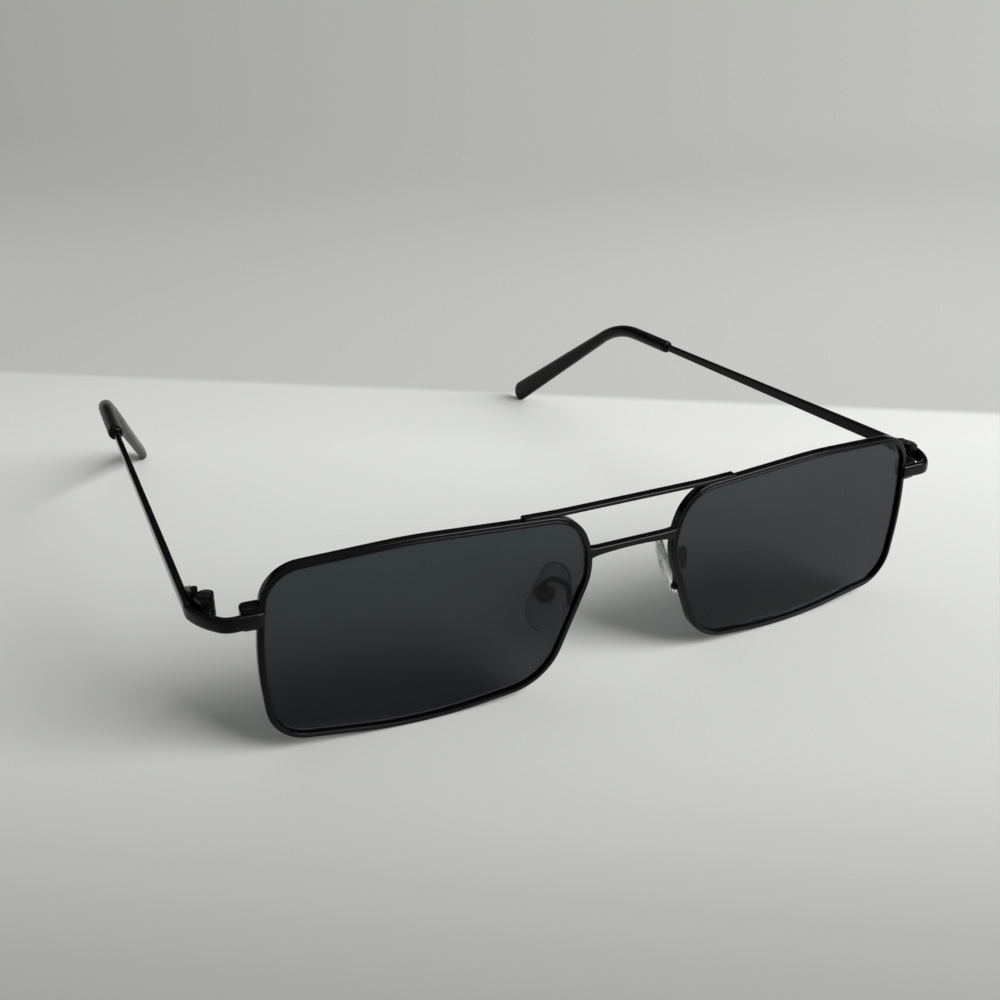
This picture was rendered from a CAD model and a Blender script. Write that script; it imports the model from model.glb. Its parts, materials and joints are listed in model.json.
import json
import math

import bmesh
import bpy
from mathutils import Matrix, Vector


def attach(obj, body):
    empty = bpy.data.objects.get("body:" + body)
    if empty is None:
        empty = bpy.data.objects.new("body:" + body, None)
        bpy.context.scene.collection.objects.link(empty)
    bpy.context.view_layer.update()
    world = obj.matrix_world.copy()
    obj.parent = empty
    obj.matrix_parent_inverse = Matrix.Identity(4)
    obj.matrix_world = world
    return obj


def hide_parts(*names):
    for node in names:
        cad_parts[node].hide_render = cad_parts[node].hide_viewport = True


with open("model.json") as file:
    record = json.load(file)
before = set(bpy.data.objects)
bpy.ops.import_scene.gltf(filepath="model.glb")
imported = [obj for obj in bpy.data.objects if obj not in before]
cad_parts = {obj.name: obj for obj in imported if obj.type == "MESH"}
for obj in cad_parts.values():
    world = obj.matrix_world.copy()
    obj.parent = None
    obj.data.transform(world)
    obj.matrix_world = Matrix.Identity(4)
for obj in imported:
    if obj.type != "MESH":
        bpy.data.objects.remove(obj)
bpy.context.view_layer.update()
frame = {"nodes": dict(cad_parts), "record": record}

# Slim rectangular metal sunglasses. Sizes are millimetres and angles degrees, unless a note says otherwise.
# Left is the wearer's left, +X. A left piece is built first and its right twin is mirrored from it; only
# the temples are built one by one, because their angles differ.

bodies = {node: body for body, names in frame["record"]["behaviour"]["bodies"].items() for node in names}
mm = 0.001


def toLinear(hexText):
    channels = [int(hexText[i:i + 2], 16) / 255 for i in (1, 3, 5)]
    return [c / 12.92 if c <= 0.04045 else ((c + 0.055) / 1.055) ** 2.4 for c in channels] + [1.0]


def addNode(tree, kind, settings=None, links=None):
    # settings: attribute or input socket -> value; links: input socket -> output socket
    made = tree.nodes.new(kind)
    for key, value in (settings or {}).items():
        if isinstance(key, str) and hasattr(made, key):
            setattr(made, key, value)
        else:
            made.inputs[key].default_value = value
    for key, source in (links or {}).items():
        tree.links.new(source, made.inputs[key])
    return made


def startMaterial(name):
    material = bpy.data.materials.new(name)
    material.use_nodes = True
    tree = material.node_tree
    tree.nodes.clear()
    return material, tree, addNode(tree, "ShaderNodeTexCoord").outputs["Object"]


frameLacquer = {"colour": "#030304", "rubbed": "#070708", "roughness": 0.08, "peel": 0.003, "shine": 0.09}
hingeLacquer = {"colour": "#030304", "rubbed": "#09090a", "roughness": 0.2, "peel": 0.006, "shine": 0.1}
coat = {"weight": 0.12, "roughness": 0.03, "worn": 0.05}  # worn: roughness added where it is rubbed


def glossLacquer(name, lacquer):
    # nickel silver, sprayed with black lacquer and baked: deep black under a thin gloss, with a little
    # orange peel, and a greyer and duller tone where fingers rub it
    material, tree, place = startMaterial(name)
    rubbed = addNode(tree, "ShaderNodeTexNoise", {"Scale": 1 / (6 * mm), "Detail": 4.0},  # patches of 6 mm
                     {"Vector": place}).outputs["Fac"]
    peel = addNode(tree, "ShaderNodeTexNoise", {"Scale": 1 / (0.35 * mm), "Detail": 2.0},  # cells of 0.35 mm
                   {"Vector": place}).outputs["Fac"]
    wear = addNode(tree, "ShaderNodeMapRange", {"From Min": 0.3, "From Max": 0.7},
                   {"Value": rubbed}).outputs["Result"]
    tone = addNode(tree, "ShaderNodeMix", {"data_type": "RGBA", 6: toLinear(lacquer["colour"]),
                                           7: toLinear(lacquer["rubbed"])}, {"Factor": wear}).outputs[2]
    dullness = addNode(tree, "ShaderNodeMapRange",
                       {"To Min": lacquer["roughness"], "To Max": lacquer["roughness"] + coat["worn"]},
                       {"Value": wear}).outputs["Result"]
    relief = addNode(tree, "ShaderNodeBump", {"Distance": lacquer["peel"] * mm},
                     {"Height": peel}).outputs["Normal"]
    shader = addNode(tree, "ShaderNodeBsdfPrincipled",
                     {"Specular IOR Level": lacquer["shine"], "Coat Weight": coat["weight"],
                      "Coat Roughness": coat["roughness"]},
                     {"Base Color": tone, "Roughness": dullness, "Normal": relief})
    addNode(tree, "ShaderNodeOutputMaterial", links={"Surface": shader.outputs["BSDF"]})
    return material


steel = {"black": "#1d1e20", "bare": "#4a4b4e", "smooth": 0.22, "rough": 0.42, "groove": 0.006}


def turnedSteel(name):
    # steel screw stock, turned on a lathe and blackened: fine tool rings under a satin shine
    material, tree, place = startMaterial(name)
    rings = addNode(tree, "ShaderNodeTexNoise", {"Scale": 1 / (0.12 * mm), "Detail": 2.0},  # feed of 0.12 mm
                    {"Vector": place}).outputs["Fac"]
    bare = addNode(tree, "ShaderNodeTexNoise", {"Scale": 1 / (1.2 * mm), "Detail": 3.0},  # thin black, 1.2 mm
                   {"Vector": place}).outputs["Fac"]
    tone = addNode(tree, "ShaderNodeMix",
                   {"data_type": "RGBA", 6: toLinear(steel["black"]), 7: toLinear(steel["bare"])},
                   {"Factor": bare}).outputs[2]
    dullness = addNode(tree, "ShaderNodeMapRange",
                       {"From Min": 0.3, "From Max": 0.7, "To Min": steel["smooth"],
                        "To Max": steel["rough"]}, {"Value": rings}).outputs["Result"]
    relief = addNode(tree, "ShaderNodeBump", {"Distance": steel["groove"] * mm},
                     {"Height": rings}).outputs["Normal"]
    shader = addNode(tree, "ShaderNodeBsdfPrincipled", {"Metallic": 1.0},
                     {"Base Color": tone, "Roughness": dullness, "Normal": relief})
    addNode(tree, "ShaderNodeOutputMaterial", links={"Surface": shader.outputs["BSDF"]})
    return material


smoke = {"bottom": "#383b40", "top": "#40464a", "from": 4, "to": 36, "cloud": 5, "longer": -0.25, "ior": 1.22}


def smokeLens(name):
    # cast nylon, dyed by dipping, polished and coated against glare: blue-green smoke, a little deeper
    # towards the bottom, with mirror-smooth faces that reflect less than bare nylon at 1.5 would
    material, tree, place = startMaterial(name)
    where = addNode(tree, "ShaderNodeSeparateXYZ", links={"Vector": place}).outputs
    # the left lens stayed a little longer in the bath: its tones sit lower by a quarter of x
    height = addNode(tree, "ShaderNodeMath", {"operation": "MULTIPLY_ADD", 1: smoke["longer"]},
                     {0: where["X"], 2: where["Z"]}).outputs[0]
    dip = addNode(tree, "ShaderNodeTexNoise", {"Scale": 1 / (18 * mm), "Detail": 2.0},  # 18 mm dye clouds
                  {"Vector": place}).outputs["Fac"]
    uneven = addNode(tree, "ShaderNodeMath", {"operation": "MULTIPLY_ADD", 1: smoke["cloud"] * mm},
                     {0: dip, 2: height}).outputs[0]
    depth = addNode(tree, "ShaderNodeMapRange",
                    {"From Min": smoke["from"] * mm, "From Max": smoke["to"] * mm},
                    {"Value": uneven}).outputs["Result"]
    dye = addNode(tree, "ShaderNodeMix",
                  {"data_type": "RGBA", 6: toLinear(smoke["bottom"]), 7: toLinear(smoke["top"])},
                  {"Factor": depth}).outputs[2]
    shader = addNode(tree, "ShaderNodeBsdfPrincipled",
                     {"Transmission Weight": 1.0, "IOR": smoke["ior"], "Roughness": 0.0}, {"Base Color": dye})
    addNode(tree, "ShaderNodeOutputMaterial", links={"Surface": shader.outputs["BSDF"]})
    return material


waxyBlack = {"colour": "#040405", "handled": "#0b0b0c", "clean": 0.2, "greasy": 0.32, "mark": 0.006,
             "shine": 0.12, "ior": 1.48}


def mouldedTip(name):
    # cellulose propionate, injection moulded and polished in a barrel: black with a slightly waxy gloss
    material, tree, place = startMaterial(name)
    handled = addNode(tree, "ShaderNodeTexNoise", {"Scale": 1 / (9 * mm), "Detail": 3.0},  # smears of 9 mm
                      {"Vector": place}).outputs["Fac"]
    grain = addNode(tree, "ShaderNodeTexNoise", {"Scale": 1 / (0.5 * mm), "Detail": 3.0},  # 0.5 mm marks
                    {"Vector": place}).outputs["Fac"]
    tone = addNode(tree, "ShaderNodeMix",
                   {"data_type": "RGBA", 6: toLinear(waxyBlack["colour"]), 7: toLinear(waxyBlack["handled"])},
                   {"Factor": handled}).outputs[2]
    dullness = addNode(tree, "ShaderNodeMapRange",
                       {"From Min": 0.3, "From Max": 0.7, "To Min": waxyBlack["clean"],
                        "To Max": waxyBlack["greasy"]}, {"Value": handled}).outputs["Result"]
    relief = addNode(tree, "ShaderNodeBump", {"Distance": waxyBlack["mark"] * mm},
                     {"Height": grain}).outputs["Normal"]
    shader = addNode(tree, "ShaderNodeBsdfPrincipled",
                     {"IOR": waxyBlack["ior"], "Specular IOR Level": waxyBlack["shine"]},
                     {"Base Color": tone, "Roughness": dullness, "Normal": relief})
    addNode(tree, "ShaderNodeOutputMaterial", links={"Surface": shader.outputs["BSDF"]})
    return material


silicone = {"tint": "#f1f3f1", "clarity": 0.92, "ior": 1.3, "roughness": 0.02, "wave": 0.002}
polycarbonate = {"tint": "#e6eae8", "clarity": 0.95, "ior": 1.45, "roughness": 0.04, "wave": 0.003}
smeared = 0.06  # roughness added where skin oil lies


def clearPlastic(name, plastic):
    # clear moulding, silicone or polycarbonate: nearly water clear, a little milky, faintly satin
    material, tree, place = startMaterial(name)
    skinOil = addNode(tree, "ShaderNodeTexNoise", {"Scale": 1 / (2.5 * mm), "Detail": 3.0},  # 2.5 mm smears
                      {"Vector": place}).outputs["Fac"]
    wave = addNode(tree, "ShaderNodeTexNoise", {"Scale": 1 / (0.6 * mm), "Detail": 2.0},  # 0.6 mm mould marks
                   {"Vector": place}).outputs["Fac"]
    dullness = addNode(tree, "ShaderNodeMapRange",
                       {"From Min": 0.3, "From Max": 0.7, "To Min": plastic["roughness"],
                        "To Max": plastic["roughness"] + smeared}, {"Value": skinOil}).outputs["Result"]
    relief = addNode(tree, "ShaderNodeBump", {"Distance": plastic["wave"] * mm},
                     {"Height": wave}).outputs["Normal"]
    shader = addNode(tree, "ShaderNodeBsdfPrincipled",
                     {"Base Color": toLinear(plastic["tint"]), "Transmission Weight": plastic["clarity"],
                      "IOR": plastic["ior"]}, {"Roughness": dullness, "Normal": relief})
    addNode(tree, "ShaderNodeOutputMaterial", links={"Surface": shader.outputs["BSDF"]})
    return material


finishes = {
    "frame": glossLacquer("black lacquer on nickel silver", frameLacquer),
    "hinge": glossLacquer("black lacquer on hinge metal", hingeLacquer),
    "screw": turnedSteel("blackened turned steel"),
    "lens": smokeLens("dip-dyed smoke nylon"),
    "tip": mouldedTip("barrel-polished black plastic"),
    "silicone": clearPlastic("clear moulded silicone", silicone),
    "core": clearPlastic("clear polycarbonate core", polycarbonate),
}
print("materials made:", len(finishes))


def roundedSection(corners, steps=4):
    # closed flat section from (x, y, radius) corners, each radius drawn with a short arc
    points = []
    for i, (x, y, radius) in enumerate(corners):
        here = Vector((x, y))
        before = (Vector(corners[i - 1][:2]) - here).normalized()
        after = (Vector(corners[(i + 1) % len(corners)][:2]) - here).normalized()
        if radius <= 0:
            points.append(here)
            continue
        half = before.angle(after) / 2
        reach = radius / math.tan(half)
        middle = here + (before + after).normalized() * radius / math.sin(half)
        start = here + before * reach - middle
        end = here + after * reach - middle
        sweep = math.atan2(start.x * end.y - start.y * end.x, start.dot(end))
        points += [middle + Matrix.Rotation(sweep * k / steps, 2) @ start for k in range(steps + 1)]
    return points


def flatBar(width, height, radius, steps=4):
    x, y = width / 2, height / 2
    return roundedSection([(-x, -y, radius), (x, -y, radius), (x, y, radius), (-x, y, radius)], steps)


def roundBar(thick, high, power, count=40):
    # section with half sizes thick and high; power 2 is an ellipse, more is squarer
    ring = []
    for k in range(count):
        c, s = math.cos(2 * math.pi * k / count), math.sin(2 * math.pi * k / count)
        ring.append((thick * math.copysign(abs(c) ** (2 / power), c),
                     high * math.copysign(abs(s) ** (2 / power), s)))
    return ring


def skin(name, rings, caps=True, sharp=42):
    # quads between rings of points; a ring of one point is a pole, edges above the sharp angle stay crisp
    mesh = bmesh.new()
    rows = [[mesh.verts.new(Vector(p) * mm) for p in ring] for ring in rings]
    for one, two in zip(rows, rows[1:]):
        for k in range(max(len(one), len(two))):
            corners = [one[k % len(one)], one[(k + 1) % len(one)], two[(k + 1) % len(two)], two[k % len(two)]]
            kept = list(dict.fromkeys(corners))
            if len(kept) > 2:
                mesh.faces.new(kept)
    for row in (rows[0], rows[-1]):
        if caps and len(row) > 2:
            mesh.faces.new(row)
    bmesh.ops.recalc_face_normals(mesh, faces=mesh.faces)
    for facet in mesh.faces:
        facet.smooth = True
    for edge in mesh.edges:
        edge.smooth = len(edge.link_faces) == 2 and edge.calc_face_angle() < math.radians(sharp)
    data = bpy.data.meshes.new(name)
    mesh.to_mesh(data)
    mesh.free()
    piece = bpy.data.objects.new(name, data)
    bpy.context.scene.collection.objects.link(piece)
    return piece


def mirror(piece):
    piece.data.transform(Matrix.Scale(-1, 4, (1, 0, 0)))
    piece.data.flip_normals()
    return piece


def dress(piece, node, finish):
    # the piece stands for a CAD node: same body, same slot
    piece.data.materials.clear()
    piece.data.materials.append(finishes[finish])
    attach(piece, bodies[node])
    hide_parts(node)


def dressBoth(left, stem, finish):
    dress(left, stem + "_left", finish)
    right = bpy.data.objects.new(left.name.replace("Left", "Right"), left.data.copy())
    bpy.context.scene.collection.objects.link(right)
    dress(mirror(right), stem + "_right", finish)


# rims and lenses

face = {
    "frontY": -74.6663, "lensZ": 17.2452, "wrap": 4.0, "lean": 4.0, "halfGap": 8.0,
    "halfWidth": 28.0, "halfHeight": 16.95, "rimWidth": 1.05, "rimDepth": 1.65, "lipRise": 0.2,
}
halfWidth, halfHeight, rimWidth = face["halfWidth"], face["halfHeight"], face["rimWidth"]
lensCorners = [  # corners of the lens opening, each with its fillet
    (halfWidth - 1.7, halfHeight - 1.05, 5.9), (halfWidth, 1.2, 60),
    (halfWidth - 1.4, 3.25 - halfHeight, 6.4), (2.5, -halfHeight, 100),
    (8.2 - halfWidth, 2.95 - halfHeight, 10.3), (0.2 - halfWidth, halfHeight - 9.95, 12.8),
    (3.4 - halfWidth, halfHeight - 0.95, 7), (4, halfHeight, 100),
]
lensX = face["halfGap"] + halfWidth
wrap = math.radians(face["wrap"])
leaning = (Matrix.Translation((0, face["frontY"], face["lensZ"]))
           @ Matrix.Rotation(math.radians(face["lean"]), 4, "X"))
lensPlane = leaning @ Matrix.Translation((lensX, 0, 0)) @ Matrix.Rotation(wrap, 4, "Z")


def outlinePath(arcStep=3.5, straightStep=2.5):
    # points on the edge of the lens opening, each with its outward direction
    path = []
    for i, (x, y, radius) in enumerate(lensCorners):
        here = Vector((x, y))
        before = Vector(lensCorners[i - 1][:2]) - here
        after = Vector(lensCorners[(i + 1) % len(lensCorners)][:2]) - here
        half = before.angle(after) / 2
        reach = min(radius / math.tan(half), 0.46 * before.length, 0.46 * after.length)
        radius = reach * math.tan(half)
        middle = here + (before.normalized() + after.normalized()).normalized() * radius / math.sin(half)
        start = here + before.normalized() * reach - middle
        end = here + after.normalized() * reach - middle
        sweep = math.atan2(start.x * end.y - start.y * end.x, start.dot(end))
        steps = max(2, math.ceil(max(abs(math.degrees(sweep)) / arcStep, radius * abs(sweep) / straightStep)))
        if path:
            last, way = path[-1]
            gap = middle + start - last
            count = math.ceil(gap.length / straightStep)
            path += [(last + gap * k / count, way) for k in range(1, count)]
        for k in range(steps + 1):
            spoke = Matrix.Rotation(sweep * k / steps, 2) @ start
            path.append((middle + spoke, spoke.normalized()))
    return path


path = outlinePath()


def spanAt(level, side):
    # where the edge crosses a height: side 1 is the temple side, side -1 the nose side
    return next(i for i in range(len(path) - 1) if path[i][0].x * side > 0
                and min(path[i][0].y, path[i + 1][0].y) <= level < max(path[i][0].y, path[i + 1][0].y))


def edgeAt(level, side):
    span = spanAt(level, side)
    (a, wayA), (b, wayB) = path[span], path[span + 1]
    t = (a.y - level) / (a.y - b.y)
    return a.lerp(b, t), wayA.lerp(wayB, t).normalized()


rim = {"lipWidth": 0.45, "grooveDepth": 0.4, "grooveWidth": 0.6, "sawCut": 0.08, "cutLevel": 8.45,
       "lipRound": 0.11, "lipFoot": 0.06, "outerRound": 0.3, "backRound": 0.22, "grooveRound": 0.04}
rimBack = face["lipRise"] + face["rimDepth"]
grooveMiddle = face["lipRise"] + face["rimDepth"] / 2
rimSection = roundedSection([
    (0, 0, rim["lipRound"]), (rim["lipWidth"], 0, rim["lipRound"]),
    (rim["lipWidth"], face["lipRise"], rim["lipFoot"]), (rimWidth, face["lipRise"], rim["outerRound"]),
    (rimWidth, rimBack, rim["backRound"]), (0, rimBack, rim["backRound"]),
    (0, grooveMiddle + rim["grooveWidth"] / 2, rim["grooveRound"]),
    (rim["grooveDepth"], grooveMiddle + rim["grooveWidth"] / 2, 0),
    (rim["grooveDepth"], grooveMiddle - rim["grooveWidth"] / 2, 0),
    (0, grooveMiddle - rim["grooveWidth"] / 2, rim["grooveRound"]),
], 5)
cutSpan = spanAt(rim["cutLevel"], 1)
openPath = [edgeAt(rim["cutLevel"] - rim["sawCut"] / 2, 1)] + path[cutSpan + 1:] + path[:cutSpan + 1]
openPath.append(edgeAt(rim["cutLevel"] + rim["sawCut"] / 2, 1))
rimLeft = skin("rimLeft", [[
    lensPlane @ Vector((p.x + way.x * r, depth, p.y + way.y * r)) for r, depth in rimSection
] for p, way in openPath], sharp=50)
dressBoth(rimLeft, "rim", "frame")

lens = {"setback": 0.65, "thickness": 1.4, "play": 0.05, "dome": 0.3, "edge": 0.12}
tongue = rim["grooveWidth"] / 2 - lens["play"]


def lensRing(scale, offset, depth):
    return [lensPlane @ Vector((p.x * scale + way.x * offset, depth, p.y * scale + way.y * offset))
            for p, way in path]


lensFront, lensBack = lens["setback"], lens["setback"] + lens["thickness"]
# how far out each ring of a dome lies, closer together near the edge
fractions = [0.12, 0.25, 0.38, 0.5, 0.62, 0.73, 0.83, 0.91, 0.97]
rings = [[lensPlane @ Vector((0, lensFront - lens["dome"], 0))]]
rings += [lensRing(t, -lens["play"], lensFront - lens["dome"] * (1 - t * t)) for t in fractions]
rings += [
    lensRing(1, -lens["play"] - lens["edge"], lensFront),
    lensRing(1, -lens["play"], lensFront + lens["edge"]),
    lensRing(1, -lens["play"], grooveMiddle - tongue), lensRing(1, rim["grooveDepth"], grooveMiddle - tongue),
    lensRing(1, rim["grooveDepth"], grooveMiddle + tongue), lensRing(1, -lens["play"], grooveMiddle + tongue),
    lensRing(1, -lens["play"], lensBack - lens["edge"]), lensRing(1, -lens["play"] - lens["edge"], lensBack),
]
rings += [lensRing(t, -lens["play"], lensBack - lens["dome"] * (1 - t * t)) for t in reversed(fractions)]
rings += [[lensPlane @ Vector((0, lensBack - lens["dome"], 0))]]
dressBoth(skin("lensLeft", rings, caps=False, sharp=30), "lens", "lens")
print("rims and lenses made")

# brow bar, with a soft bend where it turns back with the lenses

brow = {"halfLength": 20.7, "height": 0.75, "level": 17.2, "kink": 14.0, "softness": 1.2, "round": 0.26}
browFront = math.sin(wrap) * (brow["kink"] - lensX) + face["lipRise"]
browSection = flatBar(face["rimDepth"], brow["height"], brow["round"], 5)


def browTurn(x):
    # how far the bar stands back at x
    over, soft = abs(x) - brow["kink"], brow["softness"]
    slope = math.tan(wrap)
    if over <= -soft:
        return 0.0
    return slope * over if over >= soft else slope * (over + soft) ** 2 / (4 * soft)


def browRing(x, shrink=0.0):
    middle = browFront + browTurn(x) + face["rimDepth"] / 2
    return [leaning @ Vector((x, middle + d * (1 - shrink / face["rimDepth"] * 2),
                              brow["level"] + brow["height"] / 2 + h * (1 - shrink / brow["height"] * 2)))
            for d, h in browSection]


half = brow["halfLength"]
# places along the bar, close together at its ends and its bends
stations = [half, half - 0.1, half - 0.3, half - 2, 17, 15.6, 15.2, 14.8, 14.4, 14, 13.6, 13.2, 12.8, 12,
            8, 4, 0]
shrinks = {half: 0.12, half - 0.1: 0.03}
stations = [-x for x in stations] + stations[-2::-1]
dress(skin("browBar", [browRing(x, shrinks.get(abs(x), 0)) for x in stations]), "brow_bar", "frame")

# lower bridge, arched underneath, its ends following the rims they are soldered to

bridge = {"height": 1.55, "level": 9.2, "arch": 0.35, "round": 0.32, "sink": 0.5, "solder": 0.14,
          "solderFrom": 0.5, "solderLength": 1.5}
bridgeMiddle = -math.sin(wrap) * halfWidth + face["lipRise"] + face["rimDepth"] / 2
halfSpan = face["halfGap"] - rimWidth
archRadius = (halfSpan ** 2 + bridge["arch"] ** 2) / (2 * bridge["arch"])


def noseReach(level):
    # distance of the rim from the middle plane at a height, to sink into
    p, way = edgeAt(level, -1)
    return lensX + (p.x + way.x * (rimWidth - bridge["sink"])) * math.cos(wrap)


rings = []
for k in range(33):
    along = -1 + k / 16
    x = along * noseReach(bridge["level"])
    rise = bridge["arch"] - archRadius + math.sqrt(archRadius ** 2 - x * x)
    beside = max(0.0, (abs(x) - halfSpan + bridge["solderFrom"]) / bridge["solderLength"])
    flare = bridge["solder"] * beside ** 2  # solder drawn into the corner
    low = bridge["level"] - bridge["height"] / 2 + rise - flare
    high = bridge["level"] + bridge["height"] / 2 + flare
    centre = (low + high) / 2
    rings.append([leaning @ Vector((along * noseReach(centre + h), bridgeMiddle + d, centre + h))
                  for d, h in flatBar(face["rimDepth"], high - low, bridge["round"], 5)])
dress(skin("lowerBridge", rings), "lower_bridge", "frame")
print("bridges made")

# end pieces: straight, a tight turn, then a long sweep back to the hinge

endPiece = {"height": 2.5, "thickness": 1.4, "level": 26.1952, "startX": 63.199, "straight": 4.5,
            "depth": 0.802, "turnRadius": 3.4, "turnAngle": 48.0, "sweepRadius": 14.5, "buttBack": 7.8,
            "squareness": 3.2}
endFront = face["frontY"] + endPiece["depth"]
buttY = endFront + endPiece["buttBack"]
turnX = endPiece["startX"] + endPiece["straight"]
sweepStart = math.radians(endPiece["turnAngle"] - 90)
offset = endPiece["turnRadius"] - endPiece["sweepRadius"]
sweepX = turnX + offset * math.cos(sweepStart)
sweepY = endFront + endPiece["turnRadius"] + offset * math.sin(sweepStart)
endSection = roundBar(endPiece["thickness"] / 2, endPiece["height"] / 2, endPiece["squareness"])


def endRing(part, t, shrink=1.0):
    # t runs 0..1 along the part; the section's x is outwards, its y is up
    ring = []
    for out, up in endSection:
        inward = endPiece["thickness"] / 2 - out * shrink  # distance in from the outer face
        z = endPiece["level"] + up * shrink
        if part == "straight":
            ring.append((endPiece["startX"] + endPiece["straight"] * t, endFront + inward, z))
            continue
        if part == "turn":
            radius, angle = endPiece["turnRadius"] - inward, -math.pi / 2 + (sweepStart + math.pi / 2) * t
            middle = (turnX, endFront + endPiece["turnRadius"])
        else:
            radius = endPiece["sweepRadius"] - inward
            last = math.asin((buttY - sweepY) / radius)
            angle, middle = sweepStart + (last - sweepStart) * t, (sweepX, sweepY)
        ring.append((middle[0] + radius * math.cos(angle), middle[1] + radius * math.sin(angle), z))
    return ring


rings = [endRing("straight", 0.0, 0.86), endRing("straight", 0.03)]
rings += [endRing("straight", k / 4) for k in range(1, 5)]
rings += [endRing("turn", k / 12) for k in range(1, 13)] + [endRing("sweep", k / 14) for k in range(1, 14)]
rings += [endRing("sweep", 0.99), endRing("sweep", 1.0, 0.93)]
dressBoth(skin("endPieceLeft", rings), "end_piece", "frame")
print("end pieces made")

# lock blocks: the two halves that close the rim at its saw cut

lock = {"middle": 29.75, "back": 2.1, "depth": 2.0, "radius": 0.95, "chamfer": 0.3, "level": 8.45,
        "high": 2.3, "low": 1.6, "cut": 0.04, "round": 0.55, "sink": 0.4}


def lockRing(level, shrink):
    # plan in the lens plane, round at the back, its inner side following the rim
    p, way = edgeAt(level, 1)
    inner = p.x + way.x * rimWidth - lock["sink"]
    radius = lock["radius"] - shrink
    near = lock["back"] - lock["depth"] + shrink
    plan = [(inner, near), (lock["middle"] + radius - lock["chamfer"], near),
            (lock["middle"] + radius, near + lock["chamfer"])]
    plan += [(lock["middle"] + radius * math.cos(a), lock["back"] + radius * math.sin(a))
             for a in [math.pi / 2 * k / 14 for k in range(15)]]
    plan.append((inner, lock["back"] + radius))
    return [lensPlane @ Vector((x, y, level)) for x, y in plan]


def lockRings(start, height):
    # soft at the end away from the saw cut, crisp at the cut; a negative height runs down
    way = math.copysign(1, height)
    bends = [math.pi / 2 * k / 7 for k in range(8)]
    rings = [lockRing(start, 0.03), lockRing(start + way * 0.05, 0.0)]
    end, soft = start + height, lock["round"]
    return rings + [lockRing(end - way * soft * (1 - math.sin(a)), soft * (1 - math.cos(a))) for a in bends]


dressBoth(skin("lockTopLeft", lockRings(lock["level"] + lock["cut"], lock["high"])), "lock_top", "frame")
dressBoth(skin("lockBaseLeft", lockRings(lock["level"] - lock["cut"], -lock["low"])), "lock_base", "frame")
print("lock blocks made")

# temple arms and their moulded tips

arm = {"buttX": 73.6308, "length": 77.5, "endHeight": 1.5, "endThickness": 1.1, "rise": 2.6,
       "gap": 0.05, "squareness": 7.0, "blend": 22.0}
tip = {"radius": 1.5, "sleeve": 13.0, "bendRadius": 22.0, "bendAngle": 37.0, "endRadius": 2.7,
       "endThickness": 2.3}
temples = {  # the photographed pair's right arm stands further out, and its tip leans in more
    "left": {"splay": 6.0, "lean": 8.0, "drop": 42.6008},
    "right": {"splay": 2.0, "lean": 20.0, "drop": 45.474},
}
coreX = -endPiece["thickness"] / 2
bend = math.radians(tip["bendAngle"])


def armFrame(splay):
    return (Matrix.Translation((arm["buttX"], buttY, endPiece["level"]))
            @ Matrix.Rotation(math.radians(splay), 4, "Z")
            @ Matrix.Rotation(math.radians(arm["rise"]), 4, "X"))


def armRing(place, y, shrink=1.0):
    # the bar starts with the end piece's soft section and flattens along its first stretch
    t = min(y / arm["length"], 1)
    high = endPiece["height"] + (arm["endHeight"] - endPiece["height"]) * t
    thick = endPiece["thickness"] + (arm["endThickness"] - endPiece["thickness"]) * t
    power = endPiece["squareness"] + (arm["squareness"] - endPiece["squareness"]) * min(y / arm["blend"], 1)
    return [place @ Vector((coreX + out * shrink, y, up * shrink))
            for out, up in roundBar(thick / 2, high / 2, power)]


def trimToButt(ring, way):
    # slides each point along the arm onto the butt plane
    return [p + way * ((buttY + arm["gap"] - p.y) / way.y) for p in ring]


def makeArm(side):
    place = armFrame(temples[side]["splay"])
    way = place.to_3x3() @ Vector((0, 1, 0))
    rings = [trimToButt(armRing(place, 0, 0.93), way)]
    rings.append([p + way * 0.1 for p in trimToButt(armRing(place, 0), way)])
    # the last two rings are the arm's end and a stub inside the tip
    rings += [armRing(place, y) for y in (1.5, 4, 8, 12, 17, 22, 32, 42, 52, 62, 70, 76, 77.5, 79.5)]
    return skin("templeArm." + side, rings)


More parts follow.
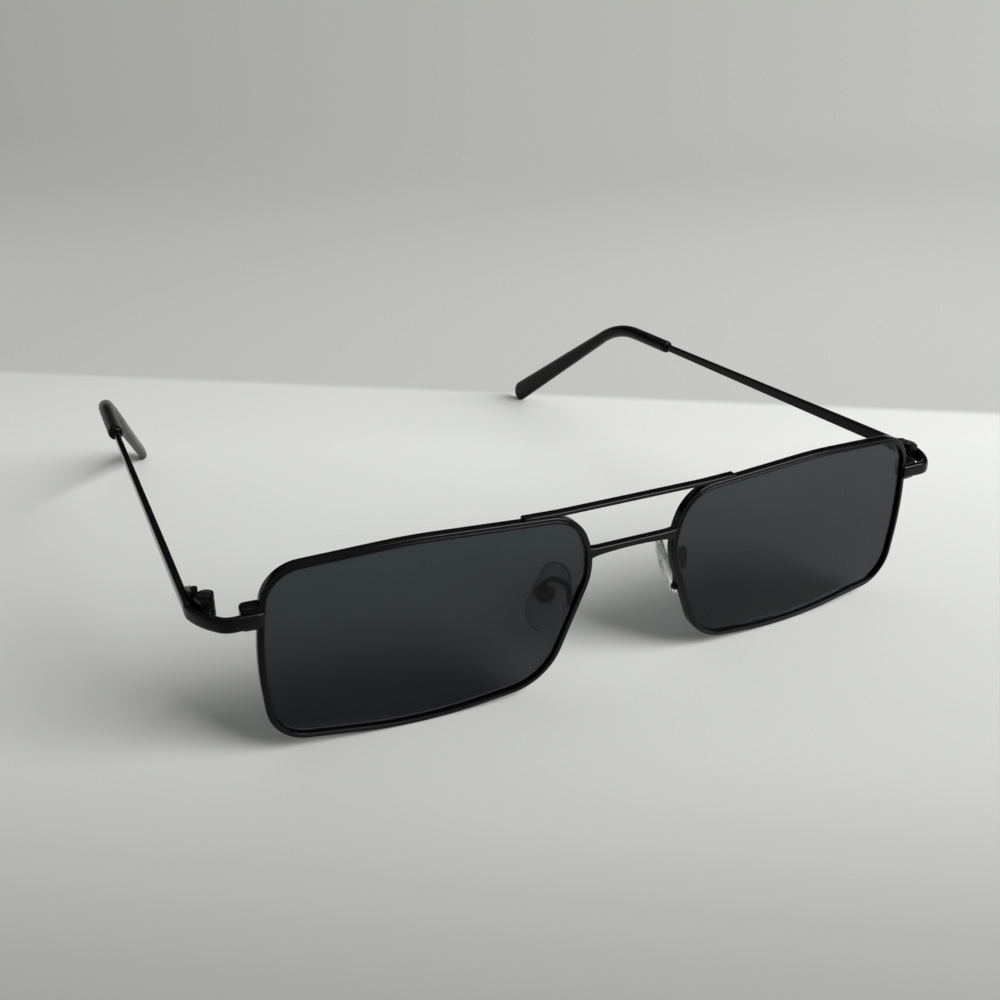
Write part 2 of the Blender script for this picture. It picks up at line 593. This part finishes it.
def makeTip(side):
    lean, drop = temples[side]["lean"], temples[side]["drop"]
    place = (armFrame(temples[side]["splay"]) @ Matrix.Translation((coreX, arm["length"], 0))
             @ Matrix.Rotation(math.radians(lean), 4, "Y"))
    radius = tip["radius"]

    def ringAt(run, turn, across, thick, power=2.0, below=0.0):
        # run along y, below under it, turned down by the angle turn
        way = Matrix.Rotation(-turn, 4, "X")
        return [place @ (Vector((0, run, -below)) + way @ Vector((x, 0, z)))
                for x, z in roundBar(thick, across, power)]

    # the sleeve's soft mouth: distance along it, how far its wall is drawn in
    mouth = ((0.0, 0.75), (0.02, 0.5), (0.14, 0.24), (0.4, 0.08), (0.9, 0.0))
    rings = [ringAt(y, 0, radius - m, radius - m) for y, m in mouth]
    rings += [ringAt(tip["sleeve"] * k / 8, 0, radius, radius) for k in range(1, 9)]
    for k in range(1, 17):
        a = bend * k / 16
        rings.append(ringAt(tip["sleeve"] + tip["bendRadius"] * math.sin(a), a, radius, radius,
                            below=tip["bendRadius"] * (1 - math.cos(a))))
    dropY = tip["sleeve"] + tip["bendRadius"] * math.sin(bend)
    dropZ = tip["bendRadius"] * (1 - math.cos(bend))
    for k in range(1, 27):
        t = k / 26
        soft = t * t * (3 - 2 * t)
        across = radius + (tip["endRadius"] - radius) * t
        thick = radius + (tip["endThickness"] / 2 - radius) * soft
        rings.append(ringAt(dropY + drop * t * math.cos(bend), bend, across, thick, 2 + 0.4 * soft,
                            dropZ + drop * t * math.sin(bend)))
    for k in range(1, 8):
        a = math.pi / 2 * k / 8
        run = drop + tip["endRadius"] * math.sin(a)
        rings.append(ringAt(dropY + run * math.cos(bend), bend, tip["endRadius"] * math.cos(a),
                            tip["endThickness"] / 2 * math.cos(a) ** 0.6, 2.4, dropZ + run * math.sin(bend)))
    run = drop + tip["endRadius"]
    rings.append([place @ Vector((0, dropY + run * math.cos(bend), -dropZ - run * math.sin(bend)))])
    return skin("templeTip." + side, rings, sharp=60)


for stem, finish, make in (("temple_arm", "frame", makeArm), ("temple_tip", "tip", makeTip)):
    dress(make("left"), stem + "_left", finish)
    dress(mirror(make("right")), stem + "_right", finish)
print("temples made")

# hinges, pad boxes and screws: machined parts with their edges broken, as tumbling and lacquer leave them

leaf = {"slopeFrom": 4.5, "above": 1.6, "endTop": 1.35, "postTop": {"left": 2.3, "right": 2.8}}
edges = {"weld": 0.0005, "flatten": 1.5, "breakFrom": 30, "steps": 4}  # weld in mm, the next two in degrees
machined = {  # width of the broken edge, finish
    "lock_screw": (0.04, "screw"), "front_hinge": (0.12, "hinge"), "temple_hinge": (0.12, "hinge"),
    "hinge_screw": (0.05, "screw"), "pad_box": (0.14, "hinge"), "pad_screw": (0.05, "screw"),
    "pad_core": (0.06, "core"),
}


def slopeLeaf(co, side):
    # the leaf plate's top edge falls towards the arm, to a wedge, and the left post ends just above it
    flip = Matrix.Scale(1 if side == "left" else -1, 4, (1, 0, 0))
    place = flip @ armFrame(temples[side]["splay"])
    local = place.inverted() @ (co / mm)
    if local.y > leaf["slopeFrom"] and local.z > leaf["above"]:
        local.z = leaf["endTop"]
    local.z = min(local.z, leaf["postTop"][side])
    return (place @ local) * mm


for stem, (width, finish) in machined.items():
    for side in ("left", "right"):
        node = stem + "_" + side
        mesh = bmesh.new()
        mesh.from_mesh(frame["nodes"][node].data)
        bmesh.ops.remove_doubles(mesh, verts=mesh.verts, dist=edges["weld"] * mm)
        if stem == "temple_hinge":
            for vert in mesh.verts:
                vert.co = slopeLeaf(vert.co, side)
        bmesh.ops.dissolve_limit(mesh, angle_limit=math.radians(edges["flatten"]), verts=mesh.verts,
                                 edges=mesh.edges)
        bmesh.ops.recalc_face_normals(mesh, faces=mesh.faces)
        for facet in mesh.faces:
            facet.smooth = True
        data = bpy.data.meshes.new(stem.replace("_", ".") + "." + side)
        mesh.to_mesh(data)
        mesh.free()
        piece = bpy.data.objects.new(data.name, data)
        bpy.context.scene.collection.objects.link(piece)
        bevel = piece.modifiers.new("broken edges", "BEVEL")
        bevel.width, bevel.segments, bevel.limit_method = width * mm, edges["steps"], "ANGLE"
        bevel.angle_limit, bevel.harden_normals = math.radians(edges["breakFrom"]), True
        dress(piece, node, finish)
print("machined parts made")

# wire arms that carry the pads: soldered foot on the rim, a loop over, down to the pad box

pad = {"x": 13.7, "y": -70.1663, "z": 17.2452, "flare": 22.0, "splay": 26.0, "span": 6.0, "topRadius": 3.1,
       "lowRadius": 3.8, "thickness": 2.3, "back": -1.15, "dome": 16.0, "round": 0.6,
       "lower": 0.5, "frontRound": 0.7, "frontDepth": 0.8}
wire = {"radius": 0.5, "footX": 10.9, "footBack": 0.62, "footLevel": -3.0, "topBack": 0.84, "top": 0.9,
        "reach": 1.1, "endBelow": 0.7}
flare, splay = math.radians(pad["flare"]), math.radians(pad["splay"])
foot = Vector((wire["footX"], face["frontY"] + wire["footBack"], face["lensZ"] + wire["footLevel"]))
rise = Vector((wire["footX"], face["frontY"] + wire["topBack"], pad["z"] + wire["top"]))
landing = Vector((pad["x"] + wire["reach"] * math.cos(flare) * math.cos(splay),
                  pad["y"] - wire["reach"] * math.sin(splay), pad["z"] + wire["top"]))
heading = (landing - rise).normalized()
sideways = Vector((-heading.y, heading.x, 0))
loopRadius = (landing - rise).length / 2
rings = []


def wireRing(centre, along, radius):
    upward = along.cross(sideways)
    return [centre + (sideways * math.cos(a) + upward * math.sin(a)) * radius
            for a in [2 * math.pi * k / 24 for k in range(24)]]


solder = ((-0.45, -0.2), (-0.4, 0.05), (-0.25, 0.24), (0.0, 0.34), (0.3, 0.3), (0.6, 0.16), (0.9, 0.05),
          (1.3, 0.0), (2.4, 0.0))  # distance up the wire, extra radius
for run, extra in solder:
    centre = foot + (rise - foot).normalized() * run
    rings.append(wireRing(centre, Vector((0, 0, 1)), wire["radius"] + extra))
for k in range(25):
    a = math.pi * k / 24
    along = heading * -math.cos(a) + Vector((0, 0, math.sin(a)))
    centre = (rise + landing) / 2 + along * loopRadius
    rings.append(wireRing(centre, heading * math.sin(a) + Vector((0, 0, math.cos(a))), wire["radius"]))
for below in (0.5, 1.0, wire["top"] + wire["endBelow"]):
    rings.append(wireRing(landing - Vector((0, 0, below)), Vector((0, 0, -1)), wire["radius"]))
dressBoth(skin("padArmLeft", rings), "pad_arm", "hinge")
print("pad arms made")

# nose pads: D-shaped, domed towards the nose, with soft edges

padFrame = (Matrix.Translation((pad["x"], pad["y"], pad["z"]))
            @ Matrix.Rotation(-flare, 4, "Y") @ Matrix.Rotation(-splay, 4, "Z"))


def padRing(shrink, depth, domed=False, count=64):
    # outline of the pad, seen from the nose, drawn in by shrink
    ring = []
    for k in range(count):
        a = 2 * math.pi * k / count
        upper = math.sin(a) > 0
        radius = (pad["topRadius"] if upper else pad["lowRadius"]) - shrink
        y = radius * math.cos(a)
        z = (pad["span"] / 2 if upper else -pad["span"] / 2) - pad["lower"] + radius * math.sin(a)
        x = depth
        if domed:
            x += pad["back"] - pad["thickness"] + pad["dome"]
            x -= math.sqrt(max(0, pad["dome"] ** 2 - y * y - (z + pad["lower"]) ** 2))
        ring.append(padFrame @ Vector((x, y, z)))
    return ring


soft = pad["round"]
rings = [[padFrame @ Vector((pad["back"], 0, -pad["lower"]))]]
rings += [padRing(s, pad["back"]) for s in (2.6, 1.7, 0.9, soft)]
rings += [padRing(soft * (1 - math.sin(a)), pad["back"] - soft * (1 - math.cos(a)))
          for a in [math.pi / 2 * k / 6 for k in range(1, 7)]]
frontRound = pad["frontRound"]
rings += [padRing(frontRound * (1 - math.cos(a)), frontRound * (1 - math.sin(a)) * pad["frontDepth"], True)
          for a in [math.pi / 2 * k / 7 for k in range(8)]]
rings += [padRing(s, 0.0, True) for s in (1.2, 1.9, 2.6)]
rings += [[padFrame @ Vector((pad["back"] - pad["thickness"], 0, -pad["lower"]))]]
dressBoth(skin("nosePadLeft", rings, caps=False, sharp=60), "nose_pad", "silicone")
print("nose pads made")

# table top and what lies behind it

stage = {  # metres; distances away and across are counted along the ground from a viewer in front
    "viewer": (-0.0998, -0.2316), "ahead": (0.435, 0.9005),
    "front": "#9c9c98", "table": "#c8c9c5", "rear": "#eaebe7", "nearFrom": 0.09, "nearTo": 0.17, "farTo": 0.3,
    "shine": 0.22, "dull": 0.5, "duller": 0.53, "halfSize": 40,
    "edgeWay": (0.5872, 0.8095), "edge": 0.0947, "edgeSoft": 0.003, "fadeFrom": 0.35, "fadeTo": 0.9,
    "shade": "#9b9c97", "light": "#c6c7c2", "spreadFrom": 1.1, "spread": 0.545,
    "footShade": "#bbbcb7", "footLight": "#d2d3ce", "footWidth": 0.17, "footFrom": 0.36, "footTo": 0.85,
    "footShare": 0.75,
}


def tableMaterial():
    # white melamine laminate, satin: it mirrors a little at a low angle. Behind the table's edge lies a
    # plain grey backdrop, lit evenly
    material, tree, place = startMaterial("white melamine laminate")
    flat = addNode(tree, "ShaderNodeVectorMath", {"operation": "MULTIPLY", 1: (1, 1, 0)},
                   {0: place}).outputs[0]
    fromViewer = addNode(tree, "ShaderNodeVectorMath", {"operation": "SUBTRACT", 1: (*stage["viewer"], 0)},
                         {0: flat}).outputs[0]
    away = addNode(tree, "ShaderNodeVectorMath", {"operation": "DOT_PRODUCT", 1: (*stage["ahead"], 0)},
                   {0: fromViewer}).outputs["Value"]
    across = addNode(tree, "ShaderNodeVectorMath",
                     {"operation": "DOT_PRODUCT", 1: (stage["ahead"][1], -stage["ahead"][0], 0)},
                     {0: fromViewer}).outputs["Value"]

    # the table gets lighter from the front to the rear
    nearness = addNode(tree, "ShaderNodeMapRange",
                       {"interpolation_type": "SMOOTHSTEP", "From Min": stage["nearFrom"],
                        "From Max": stage["nearTo"]}, {"Value": away}).outputs["Result"]
    farness = addNode(tree, "ShaderNodeMapRange",
                      {"From Min": stage["nearTo"], "From Max": stage["farTo"]},
                      {"Value": away}).outputs["Result"]
    nearTone = addNode(tree, "ShaderNodeMix",
                       {"data_type": "RGBA", 6: toLinear(stage["front"]), 7: toLinear(stage["table"])},
                       {"Factor": nearness}).outputs[2]
    tone = addNode(tree, "ShaderNodeMix", {"data_type": "RGBA", 7: toLinear(stage["rear"])},
                   {"Factor": farness, 6: nearTone}).outputs[2]
    grain = addNode(tree, "ShaderNodeTexNoise", {"Scale": 1 / (2 * mm), "Detail": 3.0},  # 2 mm press texture
                    {"Vector": place}).outputs["Fac"]
    dullness = addNode(tree, "ShaderNodeMapRange", {"To Min": stage["dull"], "To Max": stage["duller"]},
                       {"Value": grain}).outputs["Result"]
    top = addNode(tree, "ShaderNodeBsdfPrincipled", {"Specular IOR Level": stage["shine"]},
                  {"Base Color": tone, "Roughness": dullness})

    # the backdrop runs from shade on the left to light on the right, and is lightest at its foot
    reach = addNode(tree, "ShaderNodeMath", {"operation": "MAXIMUM", 1: stage["spreadFrom"]},
                    {0: away}).outputs[0]
    slant = addNode(tree, "ShaderNodeMath", {"operation": "DIVIDE"}, {0: across, 1: reach}).outputs[0]
    sideLight = addNode(tree, "ShaderNodeMapRange",
                        {"From Min": -stage["spread"], "From Max": stage["spread"]},
                        {"Value": slant}).outputs["Result"]
    drop = addNode(tree, "ShaderNodeMix",
                   {"data_type": "RGBA", 6: toLinear(stage["shade"]), 7: toLinear(stage["light"])},
                   {"Factor": sideLight}).outputs[2]
    footSide = addNode(tree, "ShaderNodeMapRange",
                       {"From Min": -stage["footWidth"], "From Max": stage["footWidth"]},
                       {"Value": across}).outputs["Result"]
    foot = addNode(tree, "ShaderNodeMix",
                   {"data_type": "RGBA", 6: toLinear(stage["footShade"]), 7: toLinear(stage["footLight"])},
                   {"Factor": footSide}).outputs[2]
    footShare = addNode(tree, "ShaderNodeMapRange",
                        {"interpolation_type": "SMOOTHSTEP", "From Min": stage["footFrom"],
                         "From Max": stage["footTo"], "To Min": stage["footShare"], "To Max": 0.0},
                        {"Value": away}).outputs["Result"]
    backdrop = addNode(tree, "ShaderNodeMix", {"data_type": "RGBA"},
                       {"Factor": footShare, 6: drop, 7: foot}).outputs[2]

    # the eye, gloss and clear pieces see it at its own tone; other light falls on it as on matt card
    ray = addNode(tree, "ShaderNodeLightPath").outputs
    seen = addNode(tree, "ShaderNodeMath", {"operation": "MAXIMUM"},
                   {0: ray["Is Camera Ray"], 1: ray["Is Glossy Ray"]}).outputs[0]
    seen = addNode(tree, "ShaderNodeMath", {"operation": "MAXIMUM"},
                   {0: seen, 1: ray["Is Transmission Ray"]}).outputs[0]
    matt = addNode(tree, "ShaderNodeBsdfDiffuse", links={"Color": backdrop})
    lit = addNode(tree, "ShaderNodeEmission", {"Strength": 1.0}, {"Color": backdrop})
    behind = addNode(tree, "ShaderNodeMixShader", links={0: seen, 1: matt.outputs[0], 2: lit.outputs[0]})

    # the table ends at its far edge, and fades out all round
    toEdge = addNode(tree, "ShaderNodeVectorMath", {"operation": "DOT_PRODUCT", 1: (*stage["edgeWay"], 0)},
                     {0: flat}).outputs["Value"]
    pastEdge = addNode(tree, "ShaderNodeMapRange",
                       {"interpolation_type": "SMOOTHSTEP", "From Min": stage["edge"] - stage["edgeSoft"],
                        "From Max": stage["edge"] + stage["edgeSoft"]}, {"Value": toEdge}).outputs["Result"]
    toMiddle = addNode(tree, "ShaderNodeVectorMath", {"operation": "LENGTH"}, {0: flat}).outputs["Value"]
    around = addNode(tree, "ShaderNodeMapRange",
                     {"interpolation_type": "SMOOTHSTEP", "From Min": stage["fadeFrom"],
                      "From Max": stage["fadeTo"]}, {"Value": toMiddle}).outputs["Result"]
    past = addNode(tree, "ShaderNodeMath", {"operation": "MAXIMUM"}, {0: pastEdge, 1: around}).outputs[0]
    both = addNode(tree, "ShaderNodeMixShader", links={0: past, 1: top.outputs[0], 2: behind.outputs[0]})
    addNode(tree, "ShaderNodeOutputMaterial", links={"Surface": both.outputs[0]})
    return material


sheet = bmesh.new()
bmesh.ops.create_grid(sheet, x_segments=8, y_segments=8, size=stage["halfSize"])
floor = bpy.data.objects.new("floor", bpy.data.meshes.new("floor"))
sheet.to_mesh(floor.data)
sheet.free()
bpy.context.scene.collection.objects.link(floor)
floor.data.materials.append(tableMaterial())

# studio light: a broad soft window at the front right, a ceiling bounce and a dim room. The eye and clear
# pieces see a pale wall all round; gloss sees it up to its top edge, and the dim room above

room = {"low": "#222323", "high": "#e9ecec", "strength": 0.32, "wall": "#c6c7c2",
        "ceilingFrom": 0.35, "wallTop": 0.18, "wallEnd": 0.32}  # heights: sine of the angle above level
bpy.context.scene.world = bpy.data.worlds.new("studio")
bpy.context.scene.world.use_nodes = True
sky = bpy.context.scene.world.node_tree
sky.nodes.clear()
upward = addNode(sky, "ShaderNodeSeparateXYZ",
                 links={"Vector": addNode(sky, "ShaderNodeTexCoord").outputs["Generated"]}).outputs["Z"]
rising = addNode(sky, "ShaderNodeMapRange", {"From Min": room["ceilingFrom"], "From Max": 1.0},
                 {"Value": upward}).outputs["Result"]
tone = addNode(sky, "ShaderNodeMix",
               {"data_type": "RGBA", 6: toLinear(room["low"]), 7: toLinear(room["high"])},
               {"Factor": rising}).outputs[2]
glow = addNode(sky, "ShaderNodeBackground", {"Strength": room["strength"]}, {"Color": tone})
wall = addNode(sky, "ShaderNodeBackground", {"Color": toLinear(room["wall"]), "Strength": 1.0})
low = addNode(sky, "ShaderNodeMapRange",
              {"From Min": room["wallTop"], "From Max": room["wallEnd"], "To Min": 1.0, "To Max": 0.0},
              {"Value": upward}).outputs["Result"]
ray = addNode(sky, "ShaderNodeLightPath").outputs
mirrored = addNode(sky, "ShaderNodeMath", {"operation": "MULTIPLY"},
                   {0: ray["Is Glossy Ray"], 1: low}).outputs[0]
seen = addNode(sky, "ShaderNodeMath", {"operation": "MAXIMUM"},
               {0: ray["Is Camera Ray"], 1: mirrored}).outputs[0]
seen = addNode(sky, "ShaderNodeMath", {"operation": "MAXIMUM"},
               {0: seen, 1: ray["Is Transmission Ray"]}).outputs[0]
sight = addNode(sky, "ShaderNodeMixShader", links={0: seen, 1: glow.outputs[0], 2: wall.outputs[0]})
addNode(sky, "ShaderNodeOutputWorld", links={"Surface": sight.outputs[0]})

lamps = {  # sizes and places in metres, power in watts
    "window": {"size": (0.7, 0.65), "at": (0.5, -0.75, 0.63), "aim": (0.0, -0.03, 0.0), "power": 17.5},
    "ceiling": {"size": (4.0, 4.0), "at": (0.0, 0.6, 3.0), "aim": (0.0, 0.4, 0.0), "power": 13.0},
}
for name, lamp in lamps.items():
    light = bpy.data.lights.new(name, "AREA")
    light.shape, light.size, light.size_y, light.energy = "RECTANGLE", *lamp["size"], lamp["power"]
    holder = bpy.data.objects.new(name, light)
    bpy.context.scene.collection.objects.link(holder)
    holder.location = lamp["at"]
    holder.rotation_euler = (Vector(lamp["aim"]) - Vector(lamp["at"])).to_track_quat("-Z", "Y").to_euler()

view = {"azimuth": -25.78, "elevation": 23.24, "roll": -0.8, "distance": 189.68, "focal": 42.8735,
        "sensor": 36.0, "target": (-24.04, face["frontY"], 38.33)}
camera = bpy.data.objects.new("camera", bpy.data.cameras.new("camera"))
bpy.context.scene.collection.objects.link(camera)
azimuth, elevation = math.radians(view["azimuth"]), math.radians(view["elevation"])
away = Vector((math.cos(elevation) * math.sin(azimuth), -math.cos(elevation) * math.cos(azimuth),
               math.sin(elevation)))
turn = (-away).to_track_quat("-Z", "Y").to_matrix().to_4x4()
turn = turn @ Matrix.Rotation(math.radians(view["roll"]), 4, "Z")
camera.matrix_world = Matrix.Translation((Vector(view["target"]) + away * view["distance"]) * mm) @ turn
camera.data.sensor_width, camera.data.lens = view["sensor"], view["focal"]
camera.data.clip_start = 0.01
bpy.context.scene.camera = camera
bpy.context.scene.view_settings.view_transform = "Standard"
print("stage, light and camera set")
